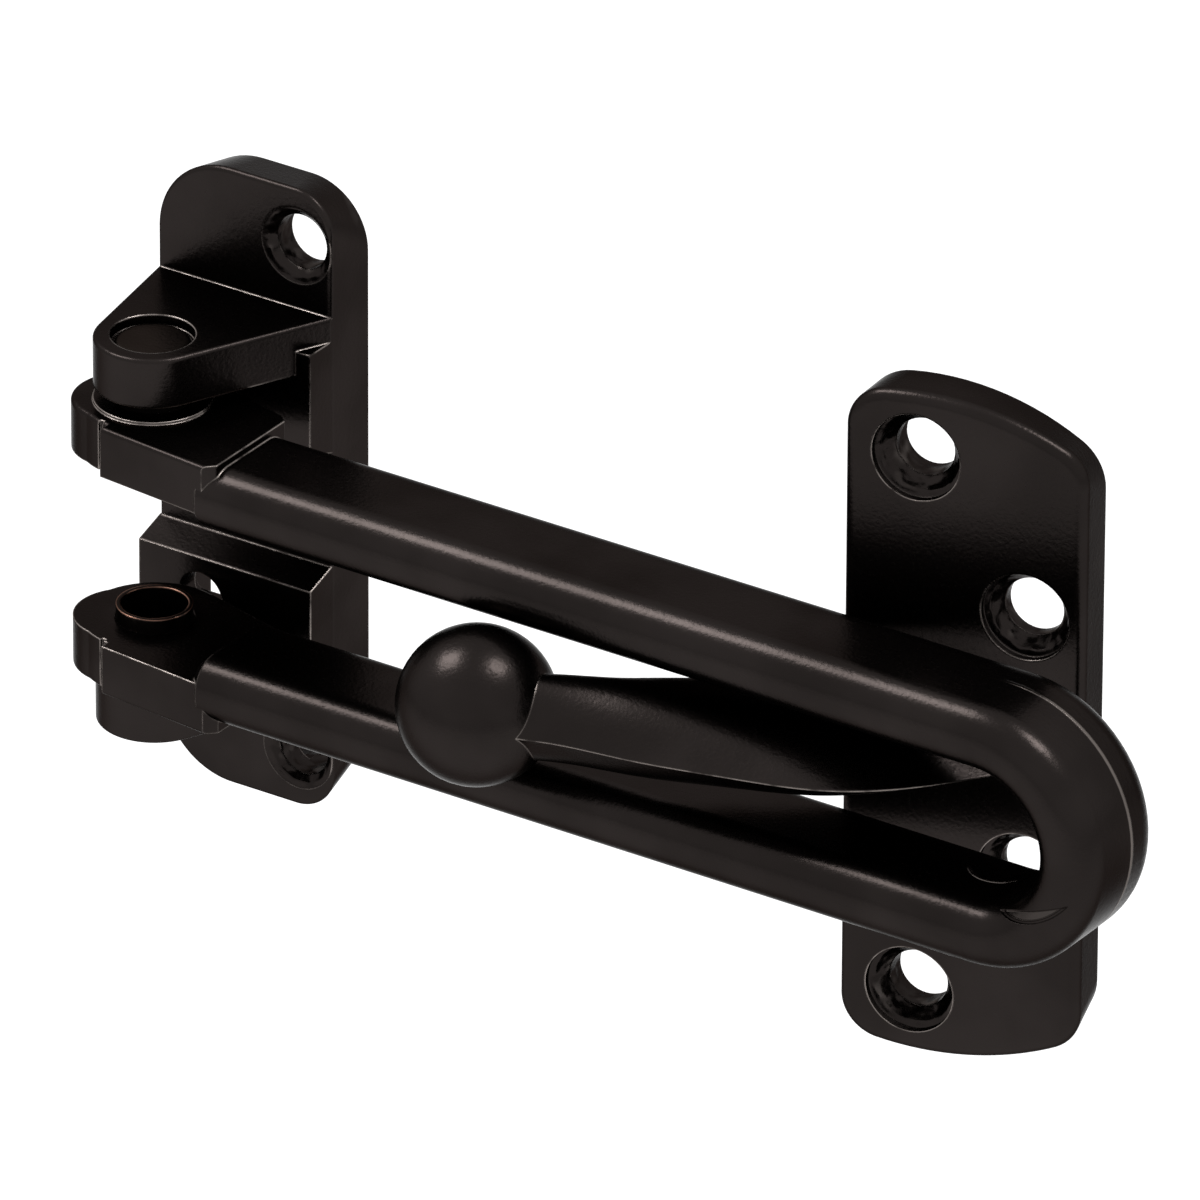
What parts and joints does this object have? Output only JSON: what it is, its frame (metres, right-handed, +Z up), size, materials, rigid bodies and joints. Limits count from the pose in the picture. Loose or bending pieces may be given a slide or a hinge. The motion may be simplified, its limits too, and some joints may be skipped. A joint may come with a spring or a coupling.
{
  "type": "swing bar door guard",
  "caption": "Swing bar door guard: a hinge bracket, a U-shaped bar that swings on pivot pins, and a strike plate whose horn carries a ball in the bar's slot.",
  "frame": {"origin": "on the hinge bracket's flat back, level with the bracket's mid-height and straight behind the pivot axis", "axes": "+X along the closed bar from the pivot to its bend, +Y into the door behind the bracket, +Z up"},
  "size_m": [0.1224, 0.0389, 0.0709],
  "materials": {
    "bronze_finish": "satin dark bronze over a die casting",
    "pin_finish": "satin dark bronze over drawn steel, worn brown at the open rim"
  },
  "bodies": {
    "bracket": {"hinge_bracket": "bronze_finish", "upper_pivot_pin": "pin_finish", "lower_pivot_pin": "pin_finish"},
    "bar": {"swing_bar": "bronze_finish"},
    "strike": {"strike_plate": "bronze_finish"}
  },
  "joints": [
    {"name": "bar_swing", "type": "hinge", "parent": "bracket", "child": "bar", "pos_m": [0, -0.0185, 0], "axis": [0, 0, -1], "range_deg": [0, 170]},
    {"name": "strike_slide", "type": "slide", "parent": "bar", "child": "strike", "axis": [1, 0, 0], "range_m": [-0.03, 0.012]}
  ]
}
